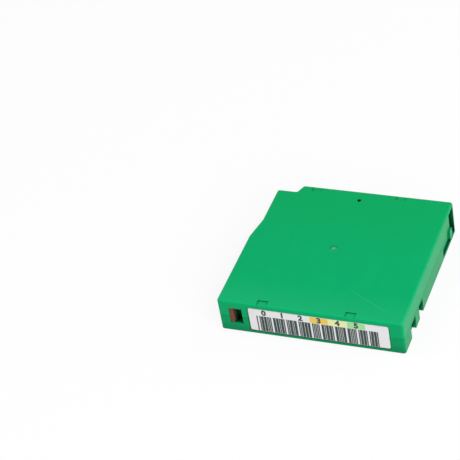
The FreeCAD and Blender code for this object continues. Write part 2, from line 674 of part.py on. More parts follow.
def memory_ribs():
    """Two ribs with a sloping top that the memory board lies on."""
    ribs = []
    low = "Size.plate / 2"
    for number, start in enumerate(("Fit.memory_left", "Fit.memory_right - Size.memory_rib"), start=1):
        ribs.append(pad(f"memory_rib_{number}", "YZ_Plane", [
            ("Fit.inner_rear - Size.end_wall / 2", low),
            ("Fit.inner_rear + Fit.memory_drop", low),
            ("Fit.inner_rear + Fit.memory_drop", "Size.plate"),
            ("Fit.inner_rear", "Size.plate + Fit.memory_drop"),
            ("Fit.inner_rear - Size.end_wall / 2", "Size.plate + Fit.memory_drop"),
        ], "Size.memory_rib", start))
    stop = "Fit.inner_rear + Fit.memory_drop + Size.memory_thickness * sqrt(2) + Size.fit_gap"
    ribs.append(box("memory_stop", ("Fit.memory_left", "Fit.memory_right"),
                    (stop, f"{stop} + Size.memory_rib"), (low, "Size.plate + Size.memory_rib")))
    return ribs


def spring_seat():
    """Block on the right wall that the rear end of the door spring pushes on."""
    middle = "Fit.door_spring_z"
    return box("spring_seat",
               ("Fit.door_spring_x - Size.door_spring_radius", "Fit.inner_right + Size.door_wall / 2"),
               ("Fit.spring_rear - Size.door_wall", "Fit.spring_rear"),
               (f"{middle} - Size.spring_foot", f"{middle} + Size.spring_foot"))


def locators():
    """A round and a long recess in the bottom face for a drive's locating pins."""
    deep = (f"-{PAST}", "Size.locator_depth")
    y = "Fit.rear + Size.locator_rear"
    half = "Size.locator_slot / 2"
    return [
        cylinder("locator_round", "Size.locator_radius", deep, ("-Size.locator_side", y)),
        cylinder("locator_long_1", "Size.locator_radius", deep, (f"Size.locator_side - {half}", y)),
        cylinder("locator_long_2", "Size.locator_radius", deep, (f"Size.locator_side + {half}", y)),
        box("locator_long", (f"Size.locator_side - {half}", f"Size.locator_side + {half}"),
            (f"{y} - Size.locator_radius", f"{y} + Size.locator_radius"), deep),
    ]


# ---- screws, label, slider and memory ----


def make_screws():
    screws = []
    for number, centre in enumerate(screw_places(), start=1):
        name = f"screw_{number}"
        head = cylinder(name + "_head", "Size.screw_head", ("Size.screw_sink", "Fit.screw_seat"), centre)
        shank = cylinder(name + "_shank", "Size.screw_radius",
                         ("Fit.screw_seat - Size.screw_sink / 2", "Fit.screw_top"), centre)
        long_half, thin_half = "Size.cross_length / 2", "Size.cross_width / 2"
        x, y = centre
        deep = ("Size.screw_sink - Size.fit_gap", "Size.screw_sink + Size.cross_depth")
        slots = [
            box(name + "_slot_a", (f"{x} - {long_half}", f"{x} + {long_half}"),
                (f"{y} - {thin_half}", f"{y} + {thin_half}"), deep),
            box(name + "_slot_b", (f"{x} - {thin_half}", f"{x} + {thin_half}"),
                (f"{y} - {long_half}", f"{y} + {long_half}"), deep),
        ]
        screws.append(cut(name, fuse(name + "_solid", [head, shank]), slots))
    group = doc.addObject("Part::Compound", "screws")
    group.Links = screws
    node(group, "shell_screws")


def make_label():
    block = box("label_block", ("Fit.label_left", "Fit.label_right"),
                ("Fit.label_face", "Fit.rear + Size.label_recess"),
                ("Size.label_lift", "Fit.label_top"))
    label = rounded("label", block, "Part::Fillet", sheet.label_round - sheet.label_border / 2,
                    lambda bounds: bounds.XLength < 1e-4 and bounds.ZLength < 1e-4)
    node(label, "barcode_label")


def make_slider():
    """Write-protect slider: a plate behind the rear wall and a thumb block in the window."""
    gap = "Size.slider_gap"
    over = "Size.slider_overlap"
    left = f"Fit.window_left + {gap}"
    plate = box("slider_plate", (f"{left} - {over}", f"{left} + Size.slider_knob"),
                (f"Fit.inner_rear + {gap}", "Fit.slider_front"),
                (f"Size.window_floor - {over}", f"Fit.window_top + {over}"))
    knob = box("slider_knob_block", (left, f"{left} + Size.slider_knob"),
               (f"Fit.rear + {gap}", f"Fit.inner_rear + Size.slider_thickness / 2"),
               (f"Size.window_floor + {gap}", f"Fit.window_top - {gap}"))
    grooves = []
    half = "Size.knob_groove_width / 2"
    for number in range(1, int(sheet.knob_grooves) + 1):
        x = f"{left} + Size.slider_knob * {number} / (Size.knob_grooves + 1)"
        grooves.append(box(f"knob_groove_{number}", (f"{x} - {half}", f"{x} + {half}"),
                           (f"Fit.rear - {PAST}", f"Fit.rear + {gap} + Size.knob_groove_depth"),
                           (f"Size.window_floor + 2 * {gap}", f"Fit.window_top - 2 * {gap}")))
    node(cut("slider", fuse("slider_solid", [plate, knob]), grooves), "write_protect_slider")


def on_memory_board(name, start, length, along, width, low, thickness):
    """A thin box on the sloping memory board, placed along it and up from its underside."""
    item = box(name, ("0", length), ("0", width), ("0", thickness))
    slope = "sqrt(2) / 2"
    place(item, start, f"Fit.inner_rear + (({along}) + ({low})) * {slope}",
          f"Size.plate + Fit.memory_drop + (({low}) - ({along})) * {slope}")
    item.Placement.Rotation = FreeCAD.Rotation(FreeCAD.Vector(1, 0, 0), -45)
    return item


def make_memory():
    """Memory board on its 45 degree ribs, with an aerial loop and a chip on its upper face."""
    face = "Size.memory_thickness"
    node(on_memory_board("memory_plate", "Fit.memory_left", "Size.memory_length",
                         "0", "Size.memory_width", "0", face), "memory_board")
    edge = "Size.memory_edge"
    track = "(Size.memory_edge + Size.memory_track)"
    loop = on_memory_board("memory_loop_outer", f"Fit.memory_left + {edge}",
                           f"Size.memory_length - 2 * {edge}", edge,
                           f"Size.memory_width - 2 * {edge}", face, "Size.memory_copper")
    space = on_memory_board("memory_loop_inner", f"Fit.memory_left + {track}",
                            f"Size.memory_length - 2 * {track}", track,
                            f"Size.memory_width - 2 * {track}", "0", f"2 * {face}")
    node(cut("memory_loop", loop, [space]), "memory_aerial")
    chip = on_memory_board("memory_chip_block",
                           "(Fit.memory_left + Fit.memory_right - Size.chip_length) / 2",
                           "Size.chip_length", "(Size.memory_width - Size.chip_width) / 2",
                           "Size.chip_width", face, "Size.chip_height")
    node(chip, "memory_chip")


# ---- reel ----


def make_reel():
    hub = revolved("hub", [
        ("Size.hub_bore", "Fit.reel_bottom"),
        ("Size.teeth_inner", "Fit.reel_bottom"),
        ("Size.teeth_inner", "Fit.teeth_tip"),
        ("Size.teeth_outer", "Fit.teeth_tip"),
        ("Size.teeth_outer", "Fit.reel_bottom"),
        ("Size.flange_radius", "Fit.reel_bottom"),
        ("Size.flange_radius", "Fit.flange_top"),
        ("Size.hub_radius", "Fit.flange_top"),
        ("Size.hub_radius", "Fit.hub_top"),
        ("Fit.cup_radius", "Fit.hub_top"),
        ("Fit.cup_radius", "Fit.cup_floor"),
        ("Size.brake_outer", "Fit.cup_floor"),
        ("Size.brake_outer", "Fit.brake_tip"),
        ("Size.brake_inner", "Fit.brake_tip"),
        ("Size.brake_inner", "Fit.cup_floor"),
        ("Size.hub_bore", "Fit.cup_floor"),
    ])
    wide = "Size.fit_gap"
    tooth_notches(hub, "drive_teeth", (f"Size.teeth_inner - {wide}", f"Size.teeth_outer + {wide}"),
                  "Fit.teeth_tip + Size.teeth_depth", f"Fit.teeth_tip - {wide}", "0")
    tooth_notches(hub, "hub_brake_teeth",
                  (f"Size.brake_inner - {wide}", f"Size.brake_outer + {wide}"),
                  "Fit.brake_tip - Size.brake_notch", f"Fit.brake_tip + {wide}", "0")
    deep = (f"Fit.reel_bottom - {PAST}", f"Fit.cup_floor + {PAST}")
    node(cut("reel_hub", hub, leg_cylinders("leg_hole", "Size.pad_leg + Size.pad_leg_gap", deep)),
         "reel_hub")
    tape = tube("tape", "Size.pack_radius", "Size.hub_radius + Size.winding_gap",
                ("Fit.tape_bottom", "Fit.tape_top"))
    node(tape, "tape_pack")
    upper = tube("flange", "Size.flange_radius", "Fit.cup_radius",
                 ("Fit.hub_top", "Fit.hub_top + Size.flange_thickness"))
    node(upper, "upper_flange")
    below = ("Fit.reel_bottom - Size.plate_thickness", "Fit.reel_bottom")
    steel = tube("steel", "Size.teeth_inner - Size.plate_gap", "Size.plate_hole", below)
    past = (f"{below[0]} - {PAST}", f"{below[1]} + {PAST}")
    room = "Size.pad_leg + 2 * Size.pad_leg_gap"
    node(cut("coupling", steel, leg_cylinders("plate_leg_hole", room, past)), "coupling_plate")


def leg_cylinders(name, radius, z):
    """Upright cylinders where the legs of the release pad are."""
    legs = []
    for number in range(1, int(sheet.pad_legs) + 1):
        turn = f"{number} * 360 deg / Size.pad_legs"
        centre = (f"Size.pad_leg_circle * cos({turn})", f"Size.pad_leg_circle * sin({turn})")
        legs.append(cylinder(f"{name}_{number}", radius, z, centre))
    return legs


def make_brake():
    """Release pad with its legs, keyed brake button and the coil spring above it."""
    span = ("Fit.pad_bottom", "Fit.pad_top")
    pieces = [cylinder("pad_centre", "Size.pad_leg_circle / 2", span)]
    pieces += leg_cylinders("pad_leg", "Size.pad_leg",
                            ("Fit.reel_bottom - Size.plate_thickness - Size.pad_leg_reach", "Fit.pad_top"))
    for number in range(1, int(sheet.pad_legs) + 1):
        arm = box(f"pad_arm_{number}", ("0", "Size.pad_leg_circle"),
                  ("-Size.pad_leg", "Size.pad_leg"), span)
        turn = f"{number} * 360 deg / Size.pad_legs"
        bind(arm, {"Placement.Rotation.Angle": turn})
        place(arm, f"Size.pad_leg * sin({turn})", f"-Size.pad_leg * cos({turn})", span[0])
        pieces.append(arm)
    node(fuse("pad", pieces), "release_pad")

    button = revolved("button", [
        ("0", "Fit.button_bottom"),
        ("Size.brake_inner", "Fit.button_bottom"),
        ("Size.brake_inner", "Fit.button_tip"),
        ("Size.brake_outer", "Fit.button_tip"),
        ("Size.brake_outer", "Fit.button_top"),
        ("Size.brake_neck", "Fit.button_top"),
        ("Size.brake_neck", "Fit.neck_top"),
        ("0", "Fit.neck_top"),
    ])
    wide = "Size.fit_gap"
    tooth_notches(button, "button_teeth",
                  (f"Size.brake_inner - {wide}", f"Size.brake_outer + {wide}"),
                  "Fit.button_tip + Size.brake_notch", f"Fit.button_tip - {wide}",
                  "180 deg / Size.teeth_count")
    half = "(Size.key_width / 2 + Size.key_gap)"
    socket = box("button_socket", (f"-{half}", half), (f"-{half}", half),
                 ("Fit.socket_floor", f"Fit.neck_top + {PAST}"))
    node(cut("brake", button, [socket]), "brake_button")
    gap = "Size.spring_gap"
    spring = coil("brake_spring_body", "Fit.brake_spring_radius", "Size.brake_wire",
                  f"Fit.ceiling - Fit.button_top - 2 * {gap}", "Size.brake_coils")
    node(place(spring, z=f"Fit.button_top + {gap}"), "brake_spring")


# ---- leader, pin and door ----


def make_leader():
    centre = ("Fit.pin_x", "Fit.pin_y")
    end = "Size.pin_end_gap"
    low = f"Size.plate + {end}"
    high = f"Fit.ceiling - {end}"
    pieces = [
        cylinder("pin_core", "Size.pin_shaft", (low, high), centre),
        cylinder("pin_low", "Size.pin_flange", (low, f"{low} + Size.pin_flange_height"), centre),
        cylinder("pin_high", "Size.pin_flange", (f"Fit.upper_socket + {end}", high), centre),
    ]
    node(fuse("pin", pieces), "leader_pin")

    span = ("Fit.tape_bottom", "Fit.tape_top")
    ring = tube("clamp_ring", "Fit.clamp_radius + Size.clamp_wall", "Fit.clamp_radius", span, centre)
    mouth = doc.addObject("Part::Cylinder", "clamp_mouth")
    bind(mouth, {"Radius": "Fit.clamp_radius + 2 * Size.clamp_wall", "Angle": "Size.clamp_opening",
                 "Height": f"Size.tape_width + 2 * {PAST}",
                 "Placement.Rotation.Angle": "Fit.leader_turn - 90 - Size.clamp_opening / 2"})
    place(mouth, centre[0], centre[1], f"Fit.tape_bottom - {PAST}")
    node(cut("clamp", ring, [mouth]), "pin_clamp")

    leader = box("leader", ("0", "Fit.leader_length - Size.pin_shaft - Size.spring_gap"),
                 ("0", "Size.leader_thickness"), span)
    out = "(Fit.leader_radius + Size.leader_thickness / 2)"
    bind(leader, {"Placement.Rotation.Angle": "Fit.leader_turn + 90"})
    place(leader, f"{out} * cos(Fit.leader_turn * 1 deg)", f"{out} * sin(Fit.leader_turn * 1 deg)",
          "Fit.tape_bottom")
    node(leader, "tape_leader")

    wire = "Size.hairpin_wire"
    top = "Size.plate + Size.pin_socket_height"
    hairpin("lower", top, f"{top} + {wire}")
    hairpin("upper", f"Fit.upper_socket - {wire}", "Fit.upper_socket")


def hairpin(which, low, high):
    """A U-shaped spring round the neck of the leader pin, open towards the door."""
    name = f"pin_spring_{which}"
    inner = "(Size.pin_shaft + Size.spring_gap)"
    outer = f"({inner} + Size.hairpin_wire)"
    bend = "Fit.pin_x - Size.hairpin_length / 2"
    tip = "Fit.pin_x + Size.hairpin_length / 2 - Size.pin_flange"
    solid = fuse(name + "_solid", [
        cylinder(name + "_bend", outer, (low, high), (bend, "Fit.pin_y")),
        box(name + "_legs", (bend, tip), (f"Fit.pin_y - {outer}", f"Fit.pin_y + {outer}"), (low, high)),
    ])
    deep = (f"({low}) - {PAST}", f"({high}) + {PAST}")
    space = [
        cylinder(name + "_eye", inner, deep, (bend, "Fit.pin_y")),
        box(name + "_space", (bend, f"{tip} + {PAST}"),
            (f"Fit.pin_y - {inner}", f"Fit.pin_y + {inner}"), deep),
    ]
    node(cut(name, solid, space), name)


def door_outline(inward):
    """Plan of the door, set in from the wall; its front edge turns in across the opening."""
    face = f"Fit.door_face - {inward}"
    back = f"Fit.door_back - {inward}"
    turn = "Size.door_turn_in"
    return [
        (face, "Fit.door_rear"),
        (face, "Fit.door_turn"),
        (f"Fit.door_face - {turn} + Size.door_thickness / 2", "Fit.door_front"),
        (f"Fit.door_face - {turn} - Size.door_thickness / 2", "Fit.door_front"),
        (back, "Fit.door_turn - Size.door_gap"),
        (back, "Fit.door_rear"),
    ]


def make_door():
    step = "Size.door_step_height"
    gap = "Size.door_gap"
    upper = pad("door_upper", "XY_Plane", door_outline("0"), f"Fit.door_top - {step} - {gap}",
                f"{step} + {gap}")
    lower = pad("door_lower", "XY_Plane", door_outline("Size.door_step"),
                f"{step} + {gap} - Fit.door_bottom", "Fit.door_bottom")
    hook = box("door_hook", ("Fit.door_back - Size.door_step / 2", "Fit.right - Size.hook_reach"),
               ("Fit.hook_rear", "Fit.hook_front"), ("Fit.door_bottom", f"{step} - {gap}"))
    middle = "Fit.door_spring_z"
    foot = box("door_foot", ("Fit.door_spring_x - Size.door_spring_radius", "Fit.door_face"),
               ("Fit.door_rear", "Fit.door_rear + 2 * Size.spring_foot"),
               (f"{middle} - Size.spring_foot", f"{middle} + Size.spring_foot"))
    node(fuse("door_solid", [upper, lower, hook, foot]), "door")

    end = "Size.spring_gap"
    spring = coil("door_spring_body", "Size.door_spring_radius", "Size.door_spring_wire",
                  f"Fit.spring_length - 2 * {end}", "Size.door_spring_coils")
    spring.Placement.Rotation = FreeCAD.Rotation(FreeCAD.Vector(1, 0, 0), -90)
    node(place(spring, "Fit.door_spring_x", f"Fit.spring_rear + {end}", middle), "door_spring")


def save():
    """Check every object, then write one STEP file for each node."""
    doc.recompute()
    for item in doc.Objects:
        if "Invalid" in item.State or "Error" in item.State:
            raise RuntimeError(f"{item.Name} did not build: {item.State}")
    os.makedirs("parts", exist_ok=True)
    for item in nodes:
        if item.Shape.isNull() or not item.Shape.isValid() or not item.Shape.Solids:
            raise RuntimeError(f"{item.Label} has no valid solid")
        item.Shape.exportStep(f"parts/{item.Label}.step")
        print(item.Label, len(item.Shape.Solids), round(item.Shape.Volume, 1))


sheet, places = make_sheet()
make_bottom_shell()
make_top_shell()
make_screws()
make_label()
make_slider()
make_memory()
make_reel()
make_brake()
make_leader()
make_door()
save()
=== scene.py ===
import math
import bmesh
import bpy
from mathutils import Matrix, Vector


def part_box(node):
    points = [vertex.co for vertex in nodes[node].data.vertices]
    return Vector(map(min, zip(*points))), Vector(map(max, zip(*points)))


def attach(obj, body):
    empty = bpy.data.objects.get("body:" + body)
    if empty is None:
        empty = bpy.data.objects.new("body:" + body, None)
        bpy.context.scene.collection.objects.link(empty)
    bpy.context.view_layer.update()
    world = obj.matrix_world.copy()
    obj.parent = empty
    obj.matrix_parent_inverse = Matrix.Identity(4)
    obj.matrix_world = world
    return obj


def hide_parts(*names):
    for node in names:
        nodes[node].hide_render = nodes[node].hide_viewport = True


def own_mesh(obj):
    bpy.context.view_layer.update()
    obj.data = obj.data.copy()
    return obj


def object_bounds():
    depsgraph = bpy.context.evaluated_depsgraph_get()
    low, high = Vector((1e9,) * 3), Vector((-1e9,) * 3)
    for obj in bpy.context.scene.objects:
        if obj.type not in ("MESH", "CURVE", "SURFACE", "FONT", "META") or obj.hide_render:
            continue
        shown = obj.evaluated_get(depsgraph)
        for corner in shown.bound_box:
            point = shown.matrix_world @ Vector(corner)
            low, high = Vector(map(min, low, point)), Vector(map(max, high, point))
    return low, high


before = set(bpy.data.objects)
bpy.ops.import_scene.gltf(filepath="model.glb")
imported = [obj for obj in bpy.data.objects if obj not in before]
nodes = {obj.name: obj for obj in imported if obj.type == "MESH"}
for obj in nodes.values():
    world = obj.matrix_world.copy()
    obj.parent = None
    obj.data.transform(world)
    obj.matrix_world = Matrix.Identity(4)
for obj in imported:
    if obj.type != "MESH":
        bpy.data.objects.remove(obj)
cad_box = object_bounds()
scene = bpy.context.scene
MM = 0.001


# ---------------------------------------------------------------- shader nodes

def rgba(colour):
    """A plain colour with full alpha, or the node output that carries one as it is."""
    return colour if isinstance(colour, bpy.types.NodeSocket) else (*colour, 1.0)


class Graph:
    """A material under construction: a Principled shader and short calls for the nodes that feed it."""

    def __init__(self, name):
        self.material = bpy.data.materials.new(name)
        self.material.use_nodes = True
        self.tree = self.material.node_tree
        self.tree.nodes.clear()
        self.output = self.tree.nodes.new("ShaderNodeOutputMaterial")
        self.shader = self.tree.nodes.new("ShaderNodeBsdfPrincipled")
        self.link(self.shader.outputs["BSDF"], self.output.inputs["Surface"])
        self.place = self.tree.nodes.new("ShaderNodeTexCoord").outputs["Object"]

    def link(self, source, target):
        self.tree.links.new(source, target)

    def feed(self, target, value):
        """Links a node's output to a socket, or sets the socket to a plain value."""
        if isinstance(value, bpy.types.NodeSocket):
            self.link(value, target)
        else:
            target.default_value = value

    def surface(self, **values):
        """Plain values on the shader's own sockets; the names use _ for a space."""
        for name, value in values.items():
            self.shader.inputs[name.replace("_", " ")].default_value = value

    def stretched(self, scale):
        """Object coordinates with each axis scaled on its own: a scale above 1 makes a pattern finer
        along that axis, and one below 1 draws it out."""
        mapping = self.tree.nodes.new("ShaderNodeMapping")
        self.link(self.place, mapping.inputs["Vector"])
        mapping.inputs["Scale"].default_value = scale
        return mapping.outputs["Vector"]

    def noise(self, size, detail=2.0, where=None, distortion=0.0):
        """Noise whose grains are about size metres across."""
        node = self.tree.nodes.new("ShaderNodeTexNoise")
        self.link(where or self.place, node.inputs["Vector"])
        node.inputs["Scale"].default_value = 1.0 / size
        node.inputs["Detail"].default_value = detail
        node.inputs["Distortion"].default_value = distortion
        return node.outputs["Fac"]

    def axes(self, vector=None):
        """X, Y and Z of a vector, or of the object coordinates."""
        node = self.tree.nodes.new("ShaderNodeSeparateXYZ")
        self.link(vector or self.place, node.inputs["Vector"])
        return node.outputs["X"], node.outputs["Y"], node.outputs["Z"]

    def remap(self, value, low, high, to_low=0.0, to_high=1.0):
        """Value carried from low..high to to_low..to_high and kept between them."""
        node = self.tree.nodes.new("ShaderNodeMapRange")
        self.link(value, node.inputs["Value"])
        limits = {"From Min": low, "From Max": high, "To Min": to_low, "To Max": to_high}
        for name, number in limits.items():
            node.inputs[name].default_value = number
        return node.outputs["Result"]

    def math(self, operation, first, second=0.0):
        node = self.tree.nodes.new("ShaderNodeMath")
        node.operation = operation
        self.feed(node.inputs[0], first)
        self.feed(node.inputs[1], second)
        return node.outputs["Value"]

    def mix(self, factor, first, second):
        """Colour between first and second."""
        node = self.tree.nodes.new("ShaderNodeMix")
        node.data_type = "RGBA"
        self.feed(node.inputs["Factor"], factor)
        self.feed(node.inputs["A"], rgba(first))
        self.feed(node.inputs["B"], rgba(second))
        return node.outputs["Result"]

    def rounded_edges(self, radius):
        """Normal that bends over each sharp edge."""
        node = self.tree.nodes.new("ShaderNodeBevel")
        node.samples = 6
        node.inputs["Radius"].default_value = radius
        return node.outputs["Normal"]

    def edge_mask(self, rounded):
        """Near 1 on an edge, 0 on a flat face."""
        geometry = self.tree.nodes.new("ShaderNodeNewGeometry")
        dot = self.tree.nodes.new("ShaderNodeVectorMath")
        dot.operation = "DOT_PRODUCT"
        self.link(rounded, dot.inputs[0])
        self.link(geometry.outputs["True Normal"], dot.inputs[1])
        return self.remap(dot.outputs["Value"], 0.995, 0.80)

    def bump(self, height, depth, normal=None):
        """Normal tilted by a height pattern that stands depth metres proud."""
        node = self.tree.nodes.new("ShaderNodeBump")
        node.inputs["Distance"].default_value = depth
        self.link(height, node.inputs["Height"])
        if normal is not None:
            self.link(normal, node.inputs["Normal"])
        return node.outputs["Normal"]

    def recess(self, reach, low, high):
        """Near 0 deep in a slot, pocket or corner, 1 on an open face: the mask for painted shade in
        recesses.
        """
        node = self.tree.nodes.new("ShaderNodeAmbientOcclusion")
        node.samples = 8
        node.inputs["Distance"].default_value = reach
        return self.remap(node.outputs["AO"], low, high)

    def spot(self, x, y, radius, blur):
        """1 inside a round spot seen from above, in object coordinates, 0 outside."""
        mapping = self.tree.nodes.new("ShaderNodeMapping")
        self.link(self.place, mapping.inputs["Vector"])
        mapping.inputs["Location"].default_value = (-x, -y, 0.0)
        mapping.inputs["Scale"].default_value = (1.0, 1.0, 0.0)
        length = self.tree.nodes.new("ShaderNodeVectorMath")
        length.operation = "LENGTH"
        self.link(mapping.outputs["Vector"], length.inputs[0])
        return self.remap(length.outputs["Value"], radius + blur, radius - blur)

    def streak(self, start, end, width):
        """1 along a straight line seen from above, fading to 0 at width from it and at its ends."""
        along = Vector(end) - Vector(start)
        mapping = self.tree.nodes.new("ShaderNodeMapping")
        mapping.vector_type = "TEXTURE"
        self.link(self.place, mapping.inputs["Vector"])
        mapping.inputs["Location"].default_value = (*start, 0.0)
        mapping.inputs["Rotation"].default_value = (0.0, 0.0, math.atan2(along.y, along.x))
        lengthwise, sideways, _ = self.axes(mapping.outputs["Vector"])
        across = self.remap(self.math("ABSOLUTE", sideways), width, width * 0.2)
        from_middle = self.math("ABSOLUTE", self.math("SUBTRACT", lengthwise, along.length / 2))
        return self.math("MULTIPLY", across, self.remap(from_middle, along.length / 2, along.length * 0.3))

    def wear(self, stretch, grain, low, high):
        """Thin marks along one direction, as a mask."""
        return self.remap(self.noise(grain, 3.0, self.stretched(stretch), 0.4), low, high)


def shade(colour, factor):
    """The colour made darker or lighter by a factor."""
    return tuple(channel * factor for channel in colour)


MOULD_GRAIN = 0.22 * MM
MOULD_EDGE = 0.3 * MM
# Reach and closed limit of the painted shade in recesses.
RECESS_REACH = 9 * MM
RECESS_SHUT = 0.38


def moulded(name, colour, roughness=0.42, ior=1.25, grain_depth=0.012 * MM, mottle=0.035, worn=0.12,
            tint=(0.75, 0.80, 0.76), gloss=(1.0, 1.0, 1.0), recess=0.0, open_from=0.82, marks=None):
    """Injection-moulded plastic: spark-eroded texture, faint flow marks, rubbed edges and light scuffs.
    Slots and corners get painted shade: they darken by the share recess where they are less open than
    open_from. The function marks(g, colour) adds wear, painted shade and painted highlights that only this
    piece has."""
    g = Graph(name)
    patches = g.noise(14 * MM, 3.0)
    flow = g.noise(4 * MM, 2.0, g.stretched((1.0, 0.22, 1.0)), 0.6)
    tone = g.math("ADD", g.math("MULTIPLY", patches, 0.65), g.math("MULTIPLY", flow, 0.35))
    base = g.mix(g.remap(tone, 0.3, 0.7), shade(colour, 1.0 - mottle), shade(colour, 1.0 + mottle))
    rounded = g.rounded_edges(MOULD_EDGE)
    rubbed = g.math("MULTIPLY", g.edge_mask(rounded), g.remap(g.noise(1.6 * MM, 3.0), 0.42, 0.62))
    scuffs = g.wear((1.0, 14.0, 14.0), 10 * MM, 0.66, 0.74)
    pale = g.math("ADD", g.math("MULTIPLY", rubbed, worn), g.math("MULTIPLY", scuffs, 0.03))
    lighter = tuple(c + (t - c) * 0.5 for c, t in zip(colour, tint))
    tinted = g.mix(g.math("MINIMUM", pale, 1.0), base, lighter)
    if marks:
        tinted = marks(g, tinted)
    # Painted shade: slots, pockets and corners darken by how closed in they are.
    if recess:
        openness = g.recess(RECESS_REACH, RECESS_SHUT, open_from)
        tinted = g.mix(openness, shade(colour, 1.0 - recess), tinted)
    g.link(tinted, g.shader.inputs["Base Color"])
    fine = g.noise(MOULD_GRAIN, 2.0)
    rough = g.math("ADD", g.remap(fine, 0.3, 0.7, roughness - 0.04, roughness + 0.05),
                   g.math("MULTIPLY", scuffs, -0.08))
    g.link(rough, g.shader.inputs["Roughness"])
    height = g.math("ADD", fine, g.math("MULTIPLY", patches, 1.5))
    g.link(g.bump(height, grain_depth, rounded), g.shader.inputs["Normal"])
    g.surface(IOR=ior, Specular_Tint=(*gloss, 1.0))
    return g.material


def metal(name, colour, roughness, stretch=(1.0, 1.0, 1.0), grain=0.4 * MM):
    """Rolled or drawn metal: fine lines drawn out as stretch says, dull patches, tiny pits."""
    g = Graph(name)
    lines = g.noise(grain, 4.0, g.stretched(stretch), 0.2)
    patches = g.noise(5 * MM, 3.0)
    dull = shade(colour, 0.72)
    g.link(g.mix(g.remap(patches, 0.35, 0.7), colour, dull), g.shader.inputs["Base Color"])
    g.link(g.math("ADD", g.remap(lines, 0.3, 0.7, roughness - 0.07, roughness + 0.08),
                  g.remap(patches, 0.4, 0.7, 0.0, 0.08)), g.shader.inputs["Roughness"])
    g.link(g.bump(lines, 0.006 * MM, g.rounded_edges(0.12 * MM)), g.shader.inputs["Normal"])
    g.surface(Metallic=1.0)
    return g.material


def radial(g):
    """Vector whose X is the distance from the reel's axis."""
    x, y, _ = g.axes()
    squared = g.math("ADD", g.math("MULTIPLY", x, x), g.math("MULTIPLY", y, y))
    join = g.tree.nodes.new("ShaderNodeCombineXYZ")
    g.link(g.math("SQRT", squared), join.inputs["X"])
    return join.outputs["Vector"]


def wound_tape():
    """Edge of the wound tape: rings of slightly uneven layers, smooth and dark on the outside."""
    g = Graph("wound_tape")
    outward = radial(g)
    rings = g.noise(0.12 * MM, 3.0, outward)
    bands = g.noise(1.8 * MM, 2.0, outward)
    tone = g.math("ADD", g.math("MULTIPLY", rings, 0.6), g.math("MULTIPLY", bands, 0.4))
    g.link(g.mix(g.remap(tone, 0.3, 0.7), (0.012, 0.010, 0.009), (0.045, 0.038, 0.034)),
           g.shader.inputs["Base Color"])
    g.link(g.remap(rings, 0.3, 0.7, 0.26, 0.42), g.shader.inputs["Roughness"])
    g.link(g.bump(tone, 0.02 * MM), g.shader.inputs["Normal"])
    g.surface(IOR=1.45)
    return g.material


def leader_film():
    """Magnetic tape seen on its face: even, glossy, with faint lengthwise lines."""
    g = Graph("leader_film")
    lines = g.noise(0.6 * MM, 3.0, g.stretched((0.08, 0.08, 1.0)))
    g.link(g.mix(lines, (0.018, 0.015, 0.013), (0.036, 0.030, 0.027)), g.shader.inputs["Base Color"])
    g.link(g.remap(lines, 0.3, 0.7, 0.18, 0.30), g.shader.inputs["Roughness"])
    g.link(g.bump(lines, 0.004 * MM), g.shader.inputs["Normal"])
    g.surface(IOR=1.5)
    return g.material


def natural_plastic():
    """Unpigmented, slightly cloudy flange."""
    g = Graph("natural_plastic")
    clouds = g.noise(9 * MM, 4.0)
    g.link(g.mix(g.remap(clouds, 0.3, 0.7), (0.58, 0.60, 0.58), (0.67, 0.68, 0.65)),
           g.shader.inputs["Base Color"])
    fine = g.noise(0.5 * MM, 3.0)
    g.link(g.remap(fine, 0.3, 0.7, 0.30, 0.40), g.shader.inputs["Roughness"])
    g.link(g.bump(fine, 0.008 * MM, g.rounded_edges(0.2 * MM)), g.shader.inputs["Normal"])
    g.surface(IOR=1.4, Subsurface_Weight=0.15, Subsurface_Scale=2 * MM)
    return g.material


def label_film():
    """Coated polyester label: white, nearly smooth, with a trace of handling."""
    g = Graph("label_film")
    cloud = g.noise(11 * MM, 3.0)
    fibre = g.noise(0.35 * MM, 4.0, g.stretched((1.0, 1.0, 0.5)))
    tone = g.math("ADD", g.math("MULTIPLY", cloud, 0.6), g.math("MULTIPLY", fibre, 0.4))
    g.link(g.mix(g.remap(tone, 0.3, 0.7), (0.86, 0.84, 0.86), (0.92, 0.91, 0.92)),
           g.shader.inputs["Base Color"])
    g.link(g.remap(fibre, 0.3, 0.7, 0.36, 0.50), g.shader.inputs["Roughness"])
    g.link(g.bump(fibre, 0.006 * MM, g.rounded_edges(0.1 * MM)), g.shader.inputs["Normal"])
    g.surface(IOR=1.35)
    return g.material


def printed(name, colour, speckle=0.10):
    """Thermal-transfer ink: even cover with pin-prick gaps and slightly ragged tone."""
    g = Graph(name)
    pricks = g.noise(0.18 * MM, 2.0)
    tone = g.noise(3 * MM, 3.0)
    paler = tuple(c + (0.9 - c) * speckle for c in colour)
    spots = g.math("ADD", g.remap(pricks, 0.60, 0.72), g.math("MULTIPLY", tone, 0.35))
    g.link(g.mix(g.math("MINIMUM", spots, 1.0), colour, paler), g.shader.inputs["Base Color"])
    g.link(g.remap(pricks, 0.3, 0.7, 0.34, 0.48), g.shader.inputs["Roughness"])
    g.link(g.bump(pricks, 0.003 * MM), g.shader.inputs["Normal"])
    g.surface(IOR=1.35)
    return g.material


def circuit_board():
    """Green solder resist over faint copper tracks."""
    g = Graph("circuit_board")
    weave = g.noise(0.6 * MM, 3.0)
    g.link(g.mix(weave, (0.012, 0.075, 0.028), (0.026, 0.125, 0.050)), g.shader.inputs["Base Color"])
    g.link(g.remap(weave, 0.3, 0.7, 0.22, 0.34), g.shader.inputs["Roughness"])
    g.link(g.bump(weave, 0.01 * MM, g.rounded_edges(0.08 * MM)), g.shader.inputs["Normal"])
    g.surface(IOR=1.45, Coat_Weight=0.4, Coat_Roughness=0.15)
    return g.material


